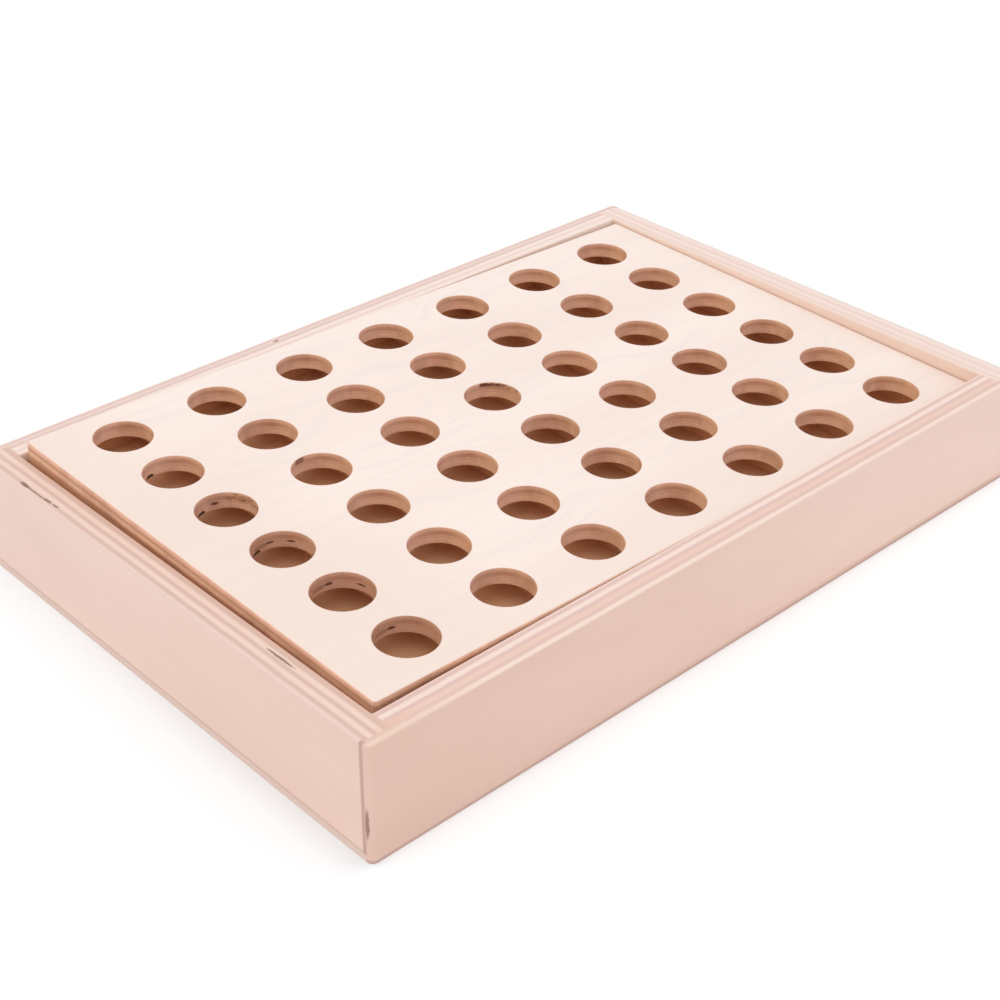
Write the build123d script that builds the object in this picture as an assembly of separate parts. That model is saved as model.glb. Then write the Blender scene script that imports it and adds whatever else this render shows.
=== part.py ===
from build123d import *
import math
import os

# Four in a row game in its plywood box. The playing board, a sandwich of two sheets with columns
# between them, lies loose in the open box on top of the stacked discs. Millimetres, +Z up.
# Origin: under the middle of the box. X runs along the long walls, the front wall is at -Y.

# Discs
disc_diameter = 25.0
disc_thickness = 5.0
disc_rounding = 0.5
discs_per_side = 21

# Playing board
columns = 7
rows = 6
column_play = 0.8
channel_play = 0.8
divider_width = 7.0
left_strip_width = 9.8
right_strip_width = 9.7
bottom_strip_width = 2.6
slot_lead = 2.5
sheet_thickness = 5.1
sight_hole_diameter = 17.3
board_corner_radius = 1.2
sheet_rounding = 0.5
hole_rounding = 0.3

# Box
wall_thickness = 9.0
wall_height = 34.5
lip_thickness = 2.5
base_thickness = 2.2
length_play = 1.9
width_play = 2.7
corner_radius = 2.0
wall_rounding = 0.5

# Where the discs are put away: column and row of each stack in the box, and its number of discs
stack_gap = 1.0
seat_clearance = 0.3
right_clearance = 0.35
front_clearance = 0.9
light_stacks = [(0, 1.2, 4), (3.32, 5, 4), (1, 4, 4), (2.2, 4.9, 3), (2.9, 3.8, 3), (1, 0, 3)]
dark_stacks = [(7.03, 0, 3), (7.6, 1.3, 3), (6, 0.2, 3), (5.1, 1, 3), (8, 3, 3), (6.9, 4, 3), (5.8, 5, 3)]
# The three stacks that the board rests on
seat_stacks = [light_stacks[0], light_stacks[1], dark_stacks[0]]

# Worked out from the sizes above
disc_radius = disc_diameter / 2
channel_width = disc_diameter + column_play
channel_depth = disc_thickness + channel_play
column_pitch = channel_width + divider_width
row_pitch = disc_diameter
columns_length = columns * channel_width + (columns - 1) * divider_width
board_length = left_strip_width + columns_length + right_strip_width
board_width = slot_lead + rows * row_pitch + bottom_strip_width
board_thickness = 2 * sheet_thickness + channel_depth
inner_length = board_length + length_play
inner_width = board_width + width_play
box_length = inner_length + 2 * wall_thickness
box_width = inner_width + 2 * wall_thickness
box_height = base_thickness + wall_height
stack_pitch = disc_diameter + stack_gap


def block(x, y, z):
    """A box given by its lowest and highest x, y and z."""
    size = Box(x[1] - x[0], y[1] - y[0], z[1] - z[0])
    return Pos((x[0] + x[1]) / 2, (y[0] + y[1]) / 2, (z[0] + z[1]) / 2) * size


def stack_centre(column, row):
    """The middle of a stack, counted from the box's front left inner corner."""
    first_x = -inner_length / 2 + stack_gap + disc_radius
    first_y = -inner_width / 2 + stack_gap + disc_radius
    return first_x + column * stack_pitch, first_y + row * stack_pitch


# Box: two long walls with a lip at each end, two short walls let in behind the lips, and a base
def long_wall(side):
    """side is -1 for the front wall and 1 for the back wall."""
    outer = side * box_width / 2
    inner = side * inner_width / 2
    lip_inside = side * (box_width / 2 - lip_thickness)
    height = (base_thickness, box_height)
    wall = block((-box_length / 2, box_length / 2), sorted((outer, inner)), height)
    for end in (-1, 1):
        rabbet_x = sorted((end * box_length / 2, end * inner_length / 2))
        wall -= block(rabbet_x, sorted((lip_inside, inner)), height)
    corners = wall.edges().filter_by(Axis.Z).filter_by(
        lambda edge: abs(abs(edge.center().X) - box_length / 2) < 0.01
        and abs(edge.center().Y - outer) < 0.01)
    wall = fillet(corners, corner_radius)
    top_face = wall.faces().sort_by(Axis.Z)[-1]
    sanded = top_face.edges().filter_by(
        lambda edge: abs(edge.center().Y - outer) < corner_radius
        or abs(abs(edge.center().X) - box_length / 2) < 0.01
        or abs(edge.center().Y - inner) < 0.01)
    return fillet(sanded, wall_rounding)


def short_wall(side):
    """side is -1 for the left wall and 1 for the right wall."""
    outer = side * box_length / 2
    inner = side * inner_length / 2
    half_width = box_width / 2 - lip_thickness
    wall = block(sorted((outer, inner)), (-half_width, half_width), (base_thickness, box_height))
    wall = fillet(wall.edges().filter_by(Axis.Y).sort_by(lambda edge: edge.center().Z + abs(edge.center().X))[-1],
                  wall_rounding)
    # The inner arris is sanded where it is free, between the long walls
    round_x = side * (inner_length / 2 + wall_rounding)
    round_z = box_height - wall_rounding
    arris = block(sorted((inner, round_x)), (-inner_width / 2, inner_width / 2), (round_z, box_height))
    arris -= Pos(round_x, 0, round_z) * Rot(90, 0, 0) * Cylinder(wall_rounding, box_width)
    return wall - arris


def base():
    panel = block((-box_length / 2, box_length / 2), (-box_width / 2, box_width / 2), (0, base_thickness))
    return fillet(panel.edges().filter_by(Axis.Z), corner_radius)


# Board: modelled level about its own middle, open edge of the columns at -Y
front_edge = -board_width / 2
back_edge = board_width / 2
left_edge = -board_length / 2
channel_end = back_edge - bottom_strip_width
channel_z = (-channel_depth / 2, channel_depth / 2)


def column_x(column):
    return left_edge + left_strip_width + channel_width / 2 + column * column_pitch


def row_y(row):
    return front_edge + slot_lead + row_pitch / 2 + row * row_pitch


def board_layer(z):
    """A layer of the whole board, its corners rounded in plan, between two heights."""
    layer = block((left_edge, -left_edge), (front_edge, back_edge), z)
    return fillet(layer.edges().filter_by(Axis.Z), board_corner_radius)


def face_panel():
    panel = board_layer((channel_depth / 2, board_thickness / 2))
    hole = Cylinder(sight_hole_diameter / 2, 3 * sheet_thickness)
    panel -= [Pos(column_x(c), row_y(r), channel_depth / 2) * hole
              for c in range(columns) for r in range(rows)]
    top_face = panel.faces().sort_by(Axis.Z)[-1]
    panel = fillet(top_face.outer_wire().edges(), sheet_rounding)
    top_face = panel.faces().sort_by(Axis.Z)[-1]
    return fillet(top_face.edges().filter_by(GeomType.CIRCLE), hole_rounding)


def back_panel():
    panel = board_layer((-board_thickness / 2, -channel_depth / 2))
    return fillet(panel.faces().sort_by(Axis.Z)[0].edges(), sheet_rounding)


def left_side_strip():
    strip = block((left_edge, left_edge + left_strip_width), (front_edge, channel_end), channel_z)
    return strip & board_layer(channel_z)


def right_side_strip():
    strip = block((-left_edge - right_strip_width, -left_edge), (front_edge, channel_end), channel_z)
    return strip & board_layer(channel_z)


def bottom_strip():
    strip = block((left_edge, -left_edge), (channel_end, back_edge), channel_z)
    return strip & board_layer(channel_z)


def divider(number):
    """The strip after column number, counted from 1 at the left."""
    middle = (column_x(number - 1) + column_x(number)) / 2
    return block((middle - divider_width / 2, middle + divider_width / 2), (front_edge, channel_end), channel_z)


# Discs and how the board rests on them
def disc(column, row, level):
    x, y = stack_centre(column, row)
    blank = Cylinder(disc_radius, disc_thickness)
    blank = fillet(blank.edges().filter_by(GeomType.CIRCLE), disc_rounding)
    return Pos(x, y, base_thickness + (level + 0.5) * disc_thickness) * blank


def board_place():
    """The board's middle and tilt, from the three stacks that its underside rests on.

    The underside is the plane z = height + slope_x * x + slope_y * y, and it meets each stack
    at the rim of the top disc, where the plane is lowest over it.
    """
    contact_radius = disc_radius - disc_rounding
    seats = [(*stack_centre(column, row), count) for column, row, count in seat_stacks]
    (x0, y0, n0), (x1, y1, n1), (x2, y2, n2) = seats
    across = (x1 - x0) * (y2 - y0) - (x2 - x0) * (y1 - y0)
    rise_1 = (n1 - n0) * disc_thickness
    rise_2 = (n2 - n0) * disc_thickness
    slope_x = (rise_1 * (y2 - y0) - rise_2 * (y1 - y0)) / across
    slope_y = (rise_2 * (x1 - x0) - rise_1 * (x2 - x0)) / across
    slope = math.hypot(slope_x, slope_y)
    steepness = math.sqrt(1 + slope ** 2)
    top = base_thickness + n0 * disc_thickness
    height = top + slope * contact_radius + seat_clearance * steepness - slope_x * x0 - slope_y * y0
    tilt = Plane(origin=(0, 0, 0), x_dir=(1, 0, slope_x), z_dir=(-slope_x, -slope_y, 1))
    across_x = abs(tilt.x_dir.X) * board_length + abs(tilt.y_dir.X) * board_width
    across_y = abs(tilt.x_dir.Y) * board_length + abs(tilt.y_dir.Y) * board_width
    reach_x = (across_x + abs(tilt.z_dir.X) * board_thickness) / 2
    reach_y = (across_y + abs(tilt.z_dir.Y) * board_thickness) / 2
    # The board has slid down its slope, against the right wall and nearly to the front wall
    middle_x = inner_length / 2 - right_clearance - reach_x
    middle_y = front_clearance + reach_y - inner_width / 2
    middle_z = height + slope_x * middle_x + slope_y * middle_y + steepness * board_thickness / 2
    tilt.origin = Vector(middle_x, middle_y, middle_z)
    return tilt


# Every node by name
box_nodes = {
    "front_wall": long_wall(-1),
    "back_wall": long_wall(1),
    "left_wall": short_wall(-1),
    "right_wall": short_wall(1),
    "base_panel": base(),
}
board_nodes = {
    "face_panel": face_panel(),
    "back_panel": back_panel(),
    "left_side_strip": left_side_strip(),
    "right_side_strip": right_side_strip(),
    "bottom_strip": bottom_strip(),
}
for number in range(1, columns):
    board_nodes[f"divider_{number}"] = divider(number)

disc_nodes = {}
for colour, stacks in (("light", light_stacks), ("dark", dark_stacks)):
    number = 0
    for column, row, count in stacks:
        for level in range(count):
            number += 1
            disc_nodes[f"{colour}_disc_{number:02d}"] = disc(column, row, level)
    print(colour, "discs:", number, "of", discs_per_side)

place = board_place()
nodes = dict(box_nodes)
nodes.update({name: place.location * shape for name, shape in board_nodes.items()})
nodes.update(disc_nodes)

os.makedirs("parts", exist_ok=True)
for name, shape in nodes.items():
    export_step(shape, f"parts/{name}.step")

print("box", round(box_length, 2), "x", round(box_width, 2), "x", round(box_height, 2))
print("board", round(board_length, 2), "x", round(board_width, 2), "x", round(board_thickness, 2))
print("board middle", place.origin, "normal", place.z_dir)
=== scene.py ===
# Four in a row game: a plywood playing board lying on its discs in an open plywood box.
from math import cos, radians, sin

import bpy
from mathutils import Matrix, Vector


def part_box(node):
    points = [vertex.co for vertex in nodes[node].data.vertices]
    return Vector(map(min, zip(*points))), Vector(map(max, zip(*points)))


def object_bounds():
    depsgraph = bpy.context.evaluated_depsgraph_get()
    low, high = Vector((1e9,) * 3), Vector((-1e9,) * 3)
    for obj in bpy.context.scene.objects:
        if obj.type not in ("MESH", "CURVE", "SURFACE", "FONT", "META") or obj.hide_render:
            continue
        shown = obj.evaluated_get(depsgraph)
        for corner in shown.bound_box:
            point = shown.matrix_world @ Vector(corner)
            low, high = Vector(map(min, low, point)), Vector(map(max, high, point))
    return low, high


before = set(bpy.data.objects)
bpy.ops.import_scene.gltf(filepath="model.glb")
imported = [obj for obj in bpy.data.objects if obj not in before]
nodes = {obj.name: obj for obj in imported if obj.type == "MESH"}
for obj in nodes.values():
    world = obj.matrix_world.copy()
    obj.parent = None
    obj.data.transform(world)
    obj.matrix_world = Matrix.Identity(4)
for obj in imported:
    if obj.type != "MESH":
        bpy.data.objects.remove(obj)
cad_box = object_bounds()


# Box walls: four lengths of sanded seven-ply birch plywood, clear matt oil. The two long walls have a
# thin lip left at each end, and the short walls are glued in behind the lips, so their joint shows as a
# line beside each upright corner. Every wall is finished by how deep each point lies in its sheet.
class Grain:
    """One output socket of a finish. Arithmetic on it adds Math nodes to the same finish."""

    def __init__(self, tree, socket=None):
        self.tree = tree
        self.socket = socket

    @staticmethod
    def pick(sockets, name):
        """A socket by its number, its identifier or its name."""
        if isinstance(name, int):
            return sockets[name]
        return next(s for s in sockets if name in (s.identifier, s.name) and s.enabled)

    def node(self, kind, settings=None, inputs=None, output=0):
        """Adds any other node: its settings first, then the values or links of its sockets."""
        made = self.tree.nodes.new(kind)
        for name, value in (settings or {}).items():
            if name == "stops":
                ramp = made.color_ramp
                while len(ramp.elements) < len(value):
                    ramp.elements.new(0.5)
                for element, (place, colour) in zip(ramp.elements, value):
                    element.position = place
                    element.color = colour
            else:
                setattr(made, name, value)
        for name, value in (inputs or {}).items():
            target = self.pick(made.inputs, name)
            if isinstance(value, Grain):
                self.tree.links.new(value.socket, target)
            else:
                target.default_value = value
        return Grain(self.tree, self.pick(made.outputs, output))

    def math(self, operation, first, second=0.0):
        return self.node("ShaderNodeMath", {"operation": operation}, {0: first, 1: second})

    def __add__(self, other):
        return self.math("ADD", self, other)

    def __radd__(self, other):
        return self.math("ADD", other, self)

    def __sub__(self, other):
        return self.math("SUBTRACT", self, other)

    def __rsub__(self, other):
        return self.math("SUBTRACT", other, self)

    def __mul__(self, other):
        return self.math("MULTIPLY", self, other)

    def __rmul__(self, other):
        return self.math("MULTIPLY", other, self)

    def __truediv__(self, other):
        return self.math("DIVIDE", self, other)

    def __rtruediv__(self, other):
        return self.math("DIVIDE", other, self)

    def __abs__(self):
        return self.math("ABSOLUTE", self)

    def either(self, other):
        """The larger of two masks."""
        return self.math("MAXIMUM", self, other)

    def step(self, low, high):
        """0 below low and 1 above high, with a soft rise between. Swapped ends fall instead."""
        settings = {"interpolation_type": "SMOOTHSTEP"}
        return self.node("ShaderNodeMapRange", settings, {"Value": self, "From Min": low, "From Max": high})


def rgb(red, green, blue):
    """A colour as it is seen, 0 to 255, turned into the light values that the nodes use."""
    seen = (red / 255, green / 255, blue / 255)
    return tuple(v / 12.92 if v < 0.04045 else ((v + 0.055) / 1.055) ** 2.4 for v in seen) + (1.0,)


def blend(wood, amount, under, over):
    """Lays the colour over onto the colour under by an amount."""
    inputs = {"Factor_Float": amount, "A_Color": under, "B_Color": over}
    return wood.node("ShaderNodeMix", {"data_type": "RGBA"}, inputs, "Result_Color")


def noise(along, across, through, detail=2.0, roughness=0.5):
    """Noise read at a place given by three lengths, with cells of one unit each way."""
    place = along.node("ShaderNodeCombineXYZ", {}, {0: along, 1: across, 2: through})
    inputs = {"Vector": place, "Scale": 1.0, "Detail": detail, "Roughness": roughness}
    return place.node("ShaderNodeTexNoise", {}, inputs)


def finish(name):
    """A new finish, its surface shader, and the place of a point in the object in millimetres."""
    made = bpy.data.materials.new(name)
    made.use_nodes = True
    place = Grain(made.node_tree).node("ShaderNodeTexCoord", output="Object")
    place = place.node("ShaderNodeVectorMath", {"operation": "SCALE"}, {0: place, "Scale": 1000.0})
    return made, made.node_tree.nodes["Principled BSDF"], place


def box_axes(place):
    """A point's three lengths along the box: right, back and up."""
    split = place.node("ShaderNodeSeparateXYZ", {}, {0: place}).socket.node
    return [Grain(place.tree, split.outputs[k]) for k in range(3)]


def join(surface, name, value):
    """Links a socket of the surface, or sets it to a plain value."""
    if isinstance(value, Grain):
        surface.id_data.links.new(value.socket, surface.inputs[name])
    else:
        surface.inputs[name].default_value = value


def sheen(along, across, through, low, swing=0.1):
    """Roughness that wanders a little over a sanded sheet."""
    return noise(along * 0.3, across * 0.3, through * 0.3, 3.0) * swing + low


def relief(surface, height, strength):
    """Raises the grain by a tenth of a millimetre at most."""
    inputs = {"Height": height, "Strength": strength, "Distance": 0.0001}
    join(surface, "Normal", height.node("ShaderNodeBump", {}, inputs))


def veneer(along, across, through, light, shade, fleck, strength=1.0):
    """Rotary-cut birch: wide soft figure, wavy growth lines along the sheet, and short fine pores."""
    bend = noise(along * 0.011, across * 0.03, through * 0.03)
    figure = noise(along * 0.007, across * 0.03, through * 0.03, 3.0)
    warped = across + bend * 26
    streak = noise(along * 0.012, warped * 0.34, through * 0.34, 3.0, 0.6)
    pores = noise(along * 0.2, across * 3.4, through * 3.4)
    colour = blend(along, figure.step(0.3, 0.7), light, shade)
    colour = blend(along, streak.step(0.5, 0.78) * (0.3 * strength), colour, shade)
    colour = blend(along, streak.step(0.5, 0.22) * (0.3 * strength), colour, light)
    colour = blend(along, pores.step(0.6, 0.8) * (0.16 * strength), colour, fleck)
    return colour, pores


def sheet_plies(thicknesses, pattern, **tones):
    """A sheet's plies from its face in: each one's thickness in millimetres, and its tone by name."""
    return [(thickness, tones[kind]) for thickness, kind in zip(thicknesses, pattern.split())]


def ply_stack(depth, along, across, thickness, plies, soft):
    """A sheet's plies by depth in millimetres, each blended into the next over soft to both sides.

    The plies swell and thin along the sheet.
    """
    wander = noise(along * 0.045, across * 0.045, 0.0) - 0.5
    share = (depth + wander * (thickness * 0.07)) / thickness
    total = sum(ply for ply, tone in plies)
    stops = []
    top = 0.0
    for ply, tone in plies:
        margin = min(soft, ply / 2)
        stops += [((top + margin) / total, tone), ((top + ply - margin) / total, tone)]
        top += ply
    return share.node("ShaderNodeValToRGB", {"stops": stops}, {"Fac": share})


def smudge(along, upward, centre, half, blur=1.1):
    """A ragged patch of a given middle and half size in millimetres, such as a void in a core ply."""
    first = (along - centre[0]) / half[0]
    second = (upward - centre[1]) / half[1]
    ragged = noise(along * 0.7, upward * 0.9, 0.0, 2.0, 0.6)
    reach = (first * first + second * second) + (ragged - 0.5) * 1.6
    return reach.step(1.5, 1.5 - blur)


def cover(node, made):
    """Gives a CAD piece its finish."""
    mesh = nodes[node].data
    for k in range(len(mesh.materials)):
        mesh.materials[k] = made


# The seven plies of each wall's sawn edge, from the outer face in. A ply whose grain ends at the edge is
# darker than its neighbours, and the outermost one is the face's own veneer.
FRONT_PLIES = sheet_plies((1.2, 1.3, 1.6, 1.3, 1.6, 1.3, 0.7), "face dark mid dark pale dark pale",
                          face=rgb(250, 225, 210), pale=rgb(250, 225, 215),
                          mid=rgb(240, 205, 190), dark=rgb(230, 195, 185))
LEFT_PLIES = sheet_plies((1.2, 1.3, 1.6, 1.3, 1.6, 1.3, 0.7), "face dark pale dark pale dark mid",
                         face=rgb(240, 210, 200), pale=rgb(245, 215, 200),
                         mid=rgb(230, 195, 175), dark=rgb(225, 190, 175))
RIGHT_PLIES = sheet_plies((0.6, 1.2, 1.3, 1.6, 1.7, 1.3, 1.3), "face mid pale dark pale dark inner",
                          face=rgb(245, 230, 220), pale=rgb(250, 225, 215), mid=rgb(240, 225, 215),
                          dark=rgb(240, 215, 205), inner=rgb(245, 220, 205))
BACK_PLIES = sheet_plies((0.9, 1.0, 1.2, 1.1, 1.8, 1.0, 2.0), "face dark mid dark pale mid pale",
                         face=rgb(245, 225, 215), pale=rgb(250, 230, 220),
                         mid=rgb(240, 215, 205), dark=rgb(230, 200, 190))
WALL_BLEND = 0.3
INNER_FACE = rgb(250, 225, 208)
INNER_SHADE = rgb(245, 217, 198)
# Painted light for the top of the back wall's inner face
INNER_PAINTED_LIGHT = rgb(255, 237, 226)
OUTER_SHADE = rgb(222, 186, 170)
END_GRAIN = rgb(214, 178, 160)
GLUE = rgb(202, 164, 147)
GLUE_SMEAR = rgb(236, 188, 162)
LIP_SHADE = rgb(238, 202, 182)
VOID = rgb(124, 90, 76)
LIP_VOID = rgb(160, 120, 104)

# Each wall: is it a long one, the sign of its outer face, its edge plies, the tones of its outer face at
# the left or front end and at the other one, and the voids on its top as middles and half sizes
WALLS = {"front_wall": (True, -1, FRONT_PLIES, rgb(238, 199, 182), rgb(254, 221, 208), []),
         "back_wall": (True, 1, BACK_PLIES, rgb(243, 214, 201), rgb(236, 204, 191),
                       [((-25.4, 85.4), (1.1, 0.45))]),
         "left_wall": (False, -1, LEFT_PLIES, rgb(249, 214, 199), rgb(251, 219, 206),
                       [((64.0, -129.25), (2.2, 0.65)), ((58.5, -129.3), (6.0, 0.24)),
                        ((52.2, -129.0), (1.8, 0.45)), ((48.6, -128.8), (1.4, 0.3)),
                        ((-47.8, -125.0), (5.4, 0.4))]),
         "right_wall": (False, 1, RIGHT_PLIES, rgb(240, 210, 196), rgb(245, 218, 206), [])}

left_wall_low, left_wall_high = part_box("left_wall")
front_wall_low, front_wall_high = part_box("front_wall")
wall_thickness = (left_wall_high[0] - left_wall_low[0]) * 1000
lip = (left_wall_low[1] - cad_box[0][1]) * 1000
wall_foot = front_wall_low[2] * 1000
wall_top = front_wall_high[2] * 1000
reach_x, reach_y = [1000 * v for v in cad_box[1][:2]]

for node, (is_long, side, plies, near_tone, far_tone, voids) in WALLS.items():
    made, surface, place = finish(node + "_birch")
    x, y, z = box_axes(place)
    along, across = (x, y) if is_long else (y, x)
    length, reach = (reach_x, reach_y) if is_long else (reach_y, reach_x)
    depth = reach - across * side

    # The outer and the inner face
    drift = noise(along * 0.012, z * 0.03, 0.0) - 0.5
    tone = blend(x, (along / length + drift * 1.2).step(-1.3, 0.9), near_tone, far_tone)
    deeper = blend(x, 0.5, tone, OUTER_SHADE)
    outer_face = veneer(along, z, across, tone, deeper, END_GRAIN, 0.7)[0]
    outer_face = blend(x, 0.55, outer_face, tone)
    inner_face, pores = veneer(along, z, across, INNER_FACE, INNER_SHADE, END_GRAIN, 0.8)
    if node == "back_wall":
        # Painted light: paler near its inner arris, to lift the shade in the gap beside the board
        inner_face = blend(x, z.step(wall_top - 6.0, wall_top - 2.5), inner_face, INNER_PAINTED_LIGHT)

    # The sawn edge on top, with its voids, and the glue smeared over the near corner
    edge = ply_stack(depth, along, 0.0, wall_thickness, plies, WALL_BLEND)
    ticks = noise(along * 1.5, across * 0.4, z * 1.5, 3.0, 0.6)
    lines = noise(along * 0.05, across * 2.6, z * 2.6, 3.0, 0.6)
    edge = blend(x, ticks.step(0.5, 0.9) * 0.16, edge, END_GRAIN)
    edge = blend(x, lines.step(0.5, 0.8) * 0.22, edge, END_GRAIN)
    for centre, half in voids:
        edge = blend(x, smudge(along, across, centre, half) * 0.8, edge, VOID)
    edge = blend(x, smudge(x, y, (-120.5, -84.6), (6.5, 1.3), 2.6) * 0.8, edge, GLUE_SMEAR)
    if node == "front_wall":
        edge = blend(x, x.step(-85.0, -125.0) * depth.step(2.6, 1.6) * 0.6, edge, LIP_SHADE)
    on_top = z.step(wall_top - 0.6, wall_top - 0.3)
    mid_depth = wall_thickness / 2
    shown = blend(x, depth.step(mid_depth - 0.1, mid_depth + 0.1), outer_face, inner_face)
    shown = blend(x, on_top, shown, edge)

    # The lips' ends, sanded smooth with the short walls, the near one with a void low down
    if is_long:
        at_end = abs(x).step(reach_x - 1.3, reach_x - 0.7) * (1.0 - on_top)
        shown = blend(x, at_end, shown, blend(x, lines.step(0.5, 0.8) * 0.3, tone, END_GRAIN))
    if node == "front_wall":
        lip_void = smudge(z, y, (12.4, -86.55), (4.6, 0.55)) * x.step(1.5 - reach_x, 0.9 - reach_x)
        shown = blend(x, lip_void * 0.9, shown, LIP_VOID)

    # The glued joints, beside each upright corner and along the foot of the short walls
    joint = abs(abs(y) - (reach_y - lip)).step(1.0, 0.3) * abs(x).step(reach_x - 1.6, reach_x - 0.6)
    shown = blend(x, joint * 0.9, shown, GLUE)
    if not is_long:
        shown = blend(x, (z - wall_foot).step(1.1, 0.2) * 0.6, shown, GLUE)
    join(surface, "Base Color", shown)
    join(surface, "Roughness", sheen(along, across, z, 0.5, 0.12))
    relief(surface, pores * 0.4 + ticks * on_top * 0.4, 0.2)
    cover(node, made)


# Base panel: a thin birch sheet glued under the four walls, its edge flush with their faces. Along the
# long sides its sawn edge is painted with shade as a thin brownish line, darkest low down, and along the
# short sides it is as pale as the wall. The long sides' painted shade runs on round the rounded corners.
BASE_LIGHT = rgb(248, 228, 216)
BASE_SHADE = rgb(240, 214, 200)
BASE_SHORT_EDGE = rgb(238, 209, 197)
BASE_LONG_PAINTED_SHADE = rgb(213, 177, 165)
BASE_LONG_PAINTED_SHADE_TOP = rgb(240, 203, 186)

made, surface, place = finish("base_birch")
x, y, z = box_axes(place)
face, pores = veneer(x, y, z, BASE_LIGHT, BASE_SHADE, END_GRAIN)
lines = noise((x + y) * 0.05, 0.0, z * 3.0, 3.0, 0.6).step(0.4, 0.8) * 0.3
short_edge = blend(x, lines, BASE_SHORT_EDGE, GLUE)
# Painted shade on the long sides' edge, darkest low down
long_edge_painted_shade = blend(x, z.step(0.7, 1.4), BASE_LONG_PAINTED_SHADE, BASE_LONG_PAINTED_SHADE_TOP)
long_edge_painted_shade = blend(x, lines, long_edge_painted_shade, GLUE)
corner = abs(x).step(reach_x - 2.1, reach_x - 1.9) * abs(y).step(reach_y - 2.1, reach_y - 1.9)
at_long = abs(y).step(reach_y - 0.3, reach_y - 0.1).either(corner)
shown = blend(x, abs(x).step(reach_x - 0.3, reach_x - 0.1), face, short_edge)
shown = blend(x, at_long, shown, long_edge_painted_shade)
join(surface, "Base Color", shown)
join(surface, "Roughness", sheen(x, y, z, 0.52))
relief(surface, pores, 0.15)
cover("base_panel", made)


# Playing board, faces: two thin birch sheets, the upper one bored with the round sight holes. The board is
# loose and lies tilted, so its finishes are measured from its own middle and along its own directions.
SHEET = 5.1
BOARD = 16.0
HALF_LENGTH = 121.05
HALF_WIDTH = 77.55
HOLE_RADIUS = 8.65
COLUMN_PITCH = 32.8
ROW_PITCH = 25.0
# The middle of the hole in the first column and the first row
FIRST_COLUMN = -98.35
FIRST_ROW = -62.55

BOARD_LIGHT = rgb(255, 239, 230)
BOARD_SHADE = rgb(250, 231, 221)
BOARD_FLAME = rgb(244, 228, 221)
BOARD_DULL = rgb(247, 225, 213)
BOARD_FLECK = rgb(232, 202, 186)
UNDER_FACE = rgb(236, 188, 147)
UNDER_SHADE = rgb(218, 168, 128)
BORED_DARK = rgb(170, 112, 86)
# Painted light on the holes' walls, at their right and their left side
BORED_RIGHT_PAINTED_LIGHT = rgb(255, 210, 166)
BORED_LEFT_PAINTED_LIGHT = rgb(250, 214, 200)
# Painted light for the board's rim, to lift the shade in the gap by the walls
RIM_PAINTED_LIGHT = rgb(254, 228, 210)
RIM_DARK = rgb(170, 124, 104)
# The plies of the board's sheets, from the face in: freshly bored in the holes, and sanded soft at the rim
BORED_PLIES = sheet_plies((1.15, 1.3, 0.6, 0.3, 1.75), "pale dark pale mid paler",
                          paler=rgb(250, 205, 175), pale=rgb(240, 190, 160),
                          mid=rgb(230, 180, 150), dark=rgb(210, 155, 125))
RIM_PLIES = sheet_plies((1.3, 1.2, 1.15, 0.95, 0.5), "pale dark paler mid deep",
                        paler=rgb(250, 205, 170), pale=rgb(245, 195, 165), mid=rgb(230, 175, 145),
                        dark=rgb(210, 160, 125), deep=rgb(205, 150, 120))
BORED_BLEND = 0.18
RIM_BLEND = 0.35
# Gaps in the core plies at the first column, and last a painted shade low on those holes' walls for the
# shadow in the channel below: the middle along the board and down into the sheet, the half sizes, the rows
# that they run between, how strongly they show and their tone
CORE_GAPS_AND_PAINTED_SHADE = [((-99.4, 3.4), (2.6, 0.7), (-60.0, 10.0), 0.5, rgb(134, 82, 56)),
             ((-96.3, 3.2), (1.2, 0.5), (-60.0, 30.0), 0.85, rgb(84, 46, 30)),
             ((-91.6, 3.2), (0.7, 0.4), (-9.5, -5.5), 0.85, rgb(84, 46, 30)),
             ((-90.2, 3.2), (0.45, 0.35), (-36.5, -33.5), 0.85, rgb(84, 46, 30)),
             # Painted shade: a black wedge low on the walls, standing for the shadow in the channel below
             ((-101.0, 4.8), (1.6, 0.8), (-8.0, 50.0), 0.95, rgb(52, 26, 16))]

corners = [Vector(c) for node in ("face_panel", "back_panel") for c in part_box(node)]
middle = Vector([(min(c[k] for c in corners) + max(c[k] for c in corners)) / 2 for k in range(3)]) * 1000
level_faces = [f for f in nodes["back_panel"].data.polygons if f.normal.z > 0.9]
upward = max(level_faces, key=lambda f: f.area).normal.copy()
lengthwise = Vector((1, 0, -upward.x / upward.z)).normalized()
crosswise = upward.cross(lengthwise)


def board_axes(place):
    """A point's place along the board, across it and above its middle, in millimetres."""
    place = place.node("ShaderNodeVectorMath", {"operation": "SUBTRACT"}, {0: place, 1: middle})
    dot = {"operation": "DOT_PRODUCT"}
    return [place.node("ShaderNodeVectorMath", dot, {0: place, 1: way}, "Value")
            for way in (lengthwise, crosswise, upward)]


def from_nearest(distance, first, pitch):
    """How far a point lies from the nearest hole's middle, one way along the board."""
    return distance.math("FLOORED_MODULO", distance + (pitch / 2 - first), pitch) - pitch / 2


def edge_band(distance, half):
    """1 in a band of 3 mm along an edge that lies half the board away from its middle."""
    return distance.step(half - 3.2, half - 3.0)


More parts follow.
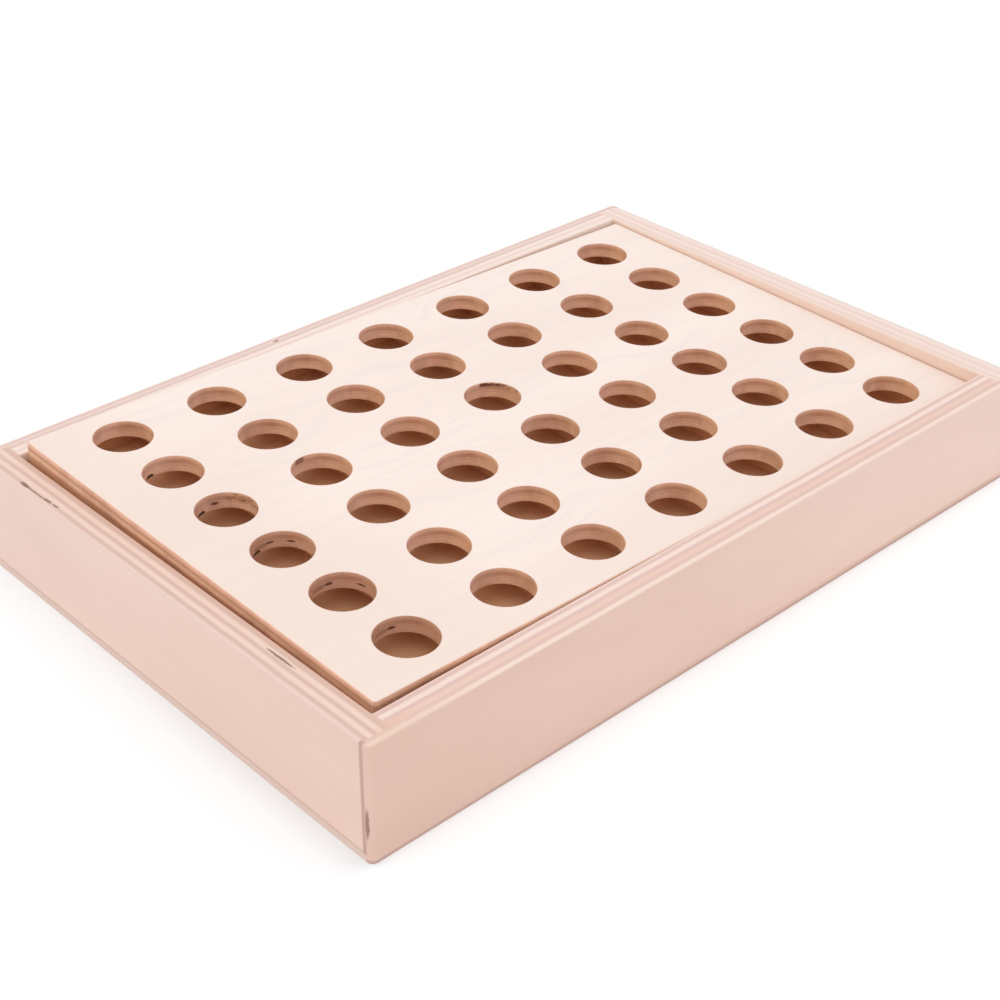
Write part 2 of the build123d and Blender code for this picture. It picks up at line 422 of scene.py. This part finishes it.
def gap_and_shade_band(a, b, depth, middle_at, half, rows):
    """A long band that runs across the board, cut through by the holes of some rows: a gap in a core ply,
    and in one entry a painted shade.
    """
    first = (a - middle_at[0]) / half[0]
    second = (depth - middle_at[1]) / half[1]
    ragged = noise(a * 0.45, b * 0.12, depth * 0.7, 2.0, 0.6)
    reach = (first * first + second * second) + (ragged - 0.5) * 1.8
    in_rows = b.step(rows[0] - 0.5, rows[0] + 0.5) * b.step(rows[1] + 0.5, rows[1] - 0.5)
    return reach.step(1.4, 0.5) * in_rows


def torn_patch(a, b, depth, centre, outer, inner):
    """Torn fibres on a hole's wall: 1 within the inner half sizes, and 0 beyond the outer ones."""
    patch = abs(a - centre[0]).step(outer[0], inner[0]) * abs(b - centre[1]).step(outer[1], inner[1])
    return patch * abs(depth - centre[2]).step(outer[2], inner[2])


made, surface, place = finish("face_panel_birch")
a, b, c = board_axes(place)
depth = BOARD / 2 - c

# The holes' walls: painted light makes them paler at their two sides than at the far side; greyer on the
# left
from_hole_a = from_nearest(a, FIRST_COLUMN, COLUMN_PITCH)
from_hole_b = from_nearest(b, FIRST_ROW, ROW_PITCH)
sideways = (from_hole_a * 0.72 - from_hole_b * 0.69) / HOLE_RADIUS
bored = ply_stack(depth, a * 4, b * 4, SHEET, BORED_PLIES, BORED_BLEND)
bored = blend(a, sideways.step(0.0, 0.95) * 0.6, bored, BORED_RIGHT_PAINTED_LIGHT)
bored = blend(a, sideways.step(0.1, -0.95) * 0.4, bored, BORED_LEFT_PAINTED_LIGHT)
bored = blend(a, (a + b * 0.3).step(-85.0, -105.0) * 0.35, bored, BORED_DARK)

# The rim: painted light at the back, at the right and along most of the front, to lift the shade in the gap
# by the walls; darker at the near corner
at_rim = edge_band(abs(a), HALF_LENGTH).either(edge_band(abs(b), HALF_WIDTH))
at_front = b.step(1.2 - HALF_WIDTH, 0.3 - HALF_WIDTH)
paler = edge_band(b, HALF_WIDTH).either(edge_band(a, HALF_LENGTH))
paler = paler.either(at_front * a.step(-95.0, -50.0)) * a.step(1.0 - HALF_LENGTH, 1.4 - HALF_LENGTH)
rim = ply_stack(depth, a, b, SHEET, RIM_PLIES, RIM_BLEND)
# Painted light on the rim
rim = blend(a, paler * 0.7, rim, RIM_PAINTED_LIGHT)
rim = blend(a, at_front * a.step(-88.0, -106.0) * 0.4, rim, RIM_DARK)

# Saw marks, end grain and dust on both, with the core gaps, a painted shade low in the first column's
# holes, and the torn fibres beside three holes
edge = blend(a, at_rim, bored, rim)
ticks = noise(a * 1.1, b * 1.1, c * 0.6, 3.0, 0.6)
lines = noise(a * 0.16, b * 0.16, c * 2.6, 3.0, 0.6)
cloud = noise(a * 0.13, b * 0.13, c * 0.1)
grime = 1.0 - paler * 0.8
edge = blend(a, cloud.step(0.4, 0.75) * grime * 0.35, edge, BORED_DARK)
edge = blend(a, ticks.step(0.5, 0.85) * grime * 0.3, edge, BORED_DARK)
edge = blend(a, lines.step(0.52, 0.8) * grime * 0.35, edge, BORED_DARK)
for middle_at, half, rows, strength, tone in CORE_GAPS_AND_PAINTED_SHADE:
    edge = blend(a, gap_and_shade_band(a, b, depth, middle_at, half, rows) * strength, edge, tone)
fibres = noise(a * 0.6, b * 0.6, c * 2.2, 3.0, 0.7)
torn = torn_patch(a, b, depth, (6.0, 16.5, 0.85), (4.2, 6.8, 0.75), (3.2, 5.4, 0.45))
torn = torn * (fibres + a.step(8.0, 3.0) * 0.16).step(0.46, 0.58)
edge = blend(a, torn * 0.9, edge, rgb(88, 38, 22))
torn = torn_patch(a, b, depth, (-67.0, 20.5, 1.0), (2.2, 2.5, 1.1), (1.2, 1.5, 0.5))
edge = blend(a, torn * 0.75, edge, rgb(118, 74, 54))
torn = torn_patch(a, b, depth, (-91.0, 13.5, 1.7), (3.2, 7.0, 1.5), (2.2, 5.0, 1.0))
edge = blend(a, torn * fibres.step(0.45, 0.62) * 0.75, edge, rgb(140, 78, 50))

# The face: fine streaks, greyer flames that wander along the board, and a duller left end and front
face, pores = veneer(a, b, c, BOARD_LIGHT, BOARD_SHADE, BOARD_FLECK, 1.7)
sway = noise(a * 0.013, b * 0.022, 0.0)
flames = noise(a * 0.015, (b + sway * 48.0) * 0.23, 0.0, 3.0, 0.6)
face = blend(a, flames.step(0.46, 0.68) * 0.5, face, BOARD_FLAME)
duller = (a + b * 0.3).step(-60.0, -110.0).either(b.step(-45.0, -75.0) * 0.7)
face = blend(a, duller * 0.75, face, BOARD_DULL)
under = veneer(a, b, c, UNDER_FACE, UNDER_SHADE, BORED_DARK)[0]
inside = depth.step(0.02, 0.16)
shown = blend(a, inside, face, edge)
shown = blend(a, depth.step(SHEET - 0.12, SHEET - 0.04), shown, under)
join(surface, "Base Color", shown)
join(surface, "Roughness", sheen(a, b, c, 0.48))
relief(surface, pores * 0.4 + ticks * inside * 0.8, 0.2)
cover("face_panel", made)

made, surface, place = finish("back_panel_birch")
a, b, c = board_axes(place)
depth = c + BOARD / 2
inner_face = veneer(a, b, c, UNDER_FACE, UNDER_SHADE, BORED_DARK)[0]
outer_face, pores = veneer(a, b, c, BOARD_LIGHT, BOARD_SHADE, BOARD_FLECK)
edge = ply_stack(depth, a, b, SHEET, RIM_PLIES, RIM_BLEND)
shown = blend(a, depth.step(0.04, 0.3), outer_face, edge)
shown = blend(a, depth.step(SHEET - 0.12, SHEET - 0.04), shown, inner_face)
join(surface, "Base Color", shown)
join(surface, "Roughness", sheen(a, b, c, 0.5))
relief(surface, pores, 0.15)
cover("back_panel", made)


# Playing board, strips: planed strips glued between the two sheets. They part the seven columns, and
# close the board at both ends and along the back, so discs go in at the front edge only.
STRIP_LIGHT = rgb(236, 188, 147)
STRIP_SHADE = rgb(218, 168, 128)
UPRIGHT_STRIPS = ["left_side_strip", "right_side_strip"] + [f"divider_{n}" for n in range(1, 7)]
# Each finish: do its strips run along the board, and which they are
STRIPS = {"strip_birch": (False, UPRIGHT_STRIPS), "bottom_strip_birch": (True, ["bottom_strip"])}

for name, (runs_along, strips) in STRIPS.items():
    made, surface, place = finish(name)
    a, b, c = board_axes(place)
    along, across = (a, b) if runs_along else (b, a)
    shown, pores = veneer(along, c * 1.5, across, STRIP_LIGHT, STRIP_SHADE, BORED_DARK)
    join(surface, "Base Color", shown)
    join(surface, "Roughness", pores * 0.1 + 0.5)
    for node in strips:
        cover(node, made)


# Discs: turned wooden discs, half left pale and half stained dark, stacked loose under the board. Their
# grain runs one of three ways from disc to disc.
DISC_TONES = {"light_disc": (rgb(238, 208, 170), rgb(222, 184, 140), rgb(190, 146, 104)),
              "dark_disc": (rgb(104, 64, 44), rgb(78, 46, 32), rgb(50, 28, 20))}
GRAIN_WAYS = (0.4, 2.5, 4.6)

for prefix, (light, shade, fleck) in DISC_TONES.items():
    discs = [n for n in nodes if n.startswith(prefix)]
    for turn, bearing in enumerate(GRAIN_WAYS):
        made, surface, place = finish(f"{prefix}_wood_{turn + 1}")
        x, y, z = box_axes(place)
        along = x * cos(bearing) + y * sin(bearing)
        across = y * cos(bearing) - x * sin(bearing)
        shown, pores = veneer(along * 1.6, across + z * 2.3, z * 0.3, light, shade, fleck, 1.4)
        join(surface, "Base Color", shown)
        join(surface, "Roughness", pores * 0.1 + 0.42)
        relief(surface, pores, 0.2)
        for node in discs[turn::len(GRAIN_WAYS)]:
            cover(node, made)


# Studio: a pale floor, a white surround and one large soft lamp overhead. The floor is lifted to white for
# the camera alone, a little less close by the left wall as a painted shadow, and a little more along the
# front wall as painted light that thins the shadow there.
BLACK = (0.0, 0.0, 0.0, 1.0)
WHITE = (1.0, 1.0, 1.0, 1.0)
FLOOR_LIFT = (0.17, 0.17, 0.17, 1.0)
FRONT_PAINTED_LIGHT_LIFT = (0.26, 0.26, 0.26, 1.0)
LEFT_PAINTED_SHADOW_LIFT = (0.09, 0.085, 0.085, 1.0)
LAMP_AT = (-0.5, 0.3, 1.5)

bpy.ops.mesh.primitive_plane_add(size=8)
floor = bpy.context.object
floor.name = "floor"
made, surface, place = finish("floor_white")
x, y, z = box_axes(place)
painted_shadow_left = abs(x + reach_x).step(9.0, 0.0) * y.step(90.0, -70.0) * y.step(-92.0, -84.0)
lift = blend(x, y.step(-84.0, -92.0), FLOOR_LIFT, FRONT_PAINTED_LIGHT_LIFT)
lift = blend(x, painted_shadow_left, lift, LEFT_PAINTED_SHADOW_LIFT)
seen = x.node("ShaderNodeLightPath", output="Is Camera Ray")
join(surface, "Base Color", rgb(239, 244, 246))
join(surface, "Roughness", 0.9)
join(surface, "Specular IOR Level", 0.0)
join(surface, "Emission Color", blend(x, seen, BLACK, lift))
join(surface, "Emission Strength", 1.0)
floor.data.materials.append(made)

scene = bpy.context.scene
scene.view_settings.view_transform = "Standard"
world = bpy.data.worlds.new("surround")
world.use_nodes = True
scene.world = world
background = world.node_tree.nodes["Background"]
seen = Grain(world.node_tree).node("ShaderNodeLightPath", output="Is Camera Ray")
join(background, "Color", WHITE)
join(background, "Strength", seen * 0.07 + 0.93)

lamp = bpy.data.lights.new("overhead", "AREA")
lamp.shape = "SQUARE"
lamp.size = 1.6
lamp.energy = 2.5
overhead = bpy.data.objects.new("overhead", lamp)
overhead.location = LAMP_AT
overhead.rotation_euler = Vector(LAMP_AT).to_track_quat("Z", "Y").to_euler()
scene.collection.objects.link(overhead)

camera = bpy.data.objects.new("camera", bpy.data.cameras.new("camera"))
camera.data.lens = 66.869
camera.data.sensor_width = 36.0
camera.location = (-0.332652, -0.346432, 0.313396)
camera.rotation_euler = (radians(57.3641), radians(-0.3194), radians(-42.9995))
scene.collection.objects.link(camera)
scene.camera = camera
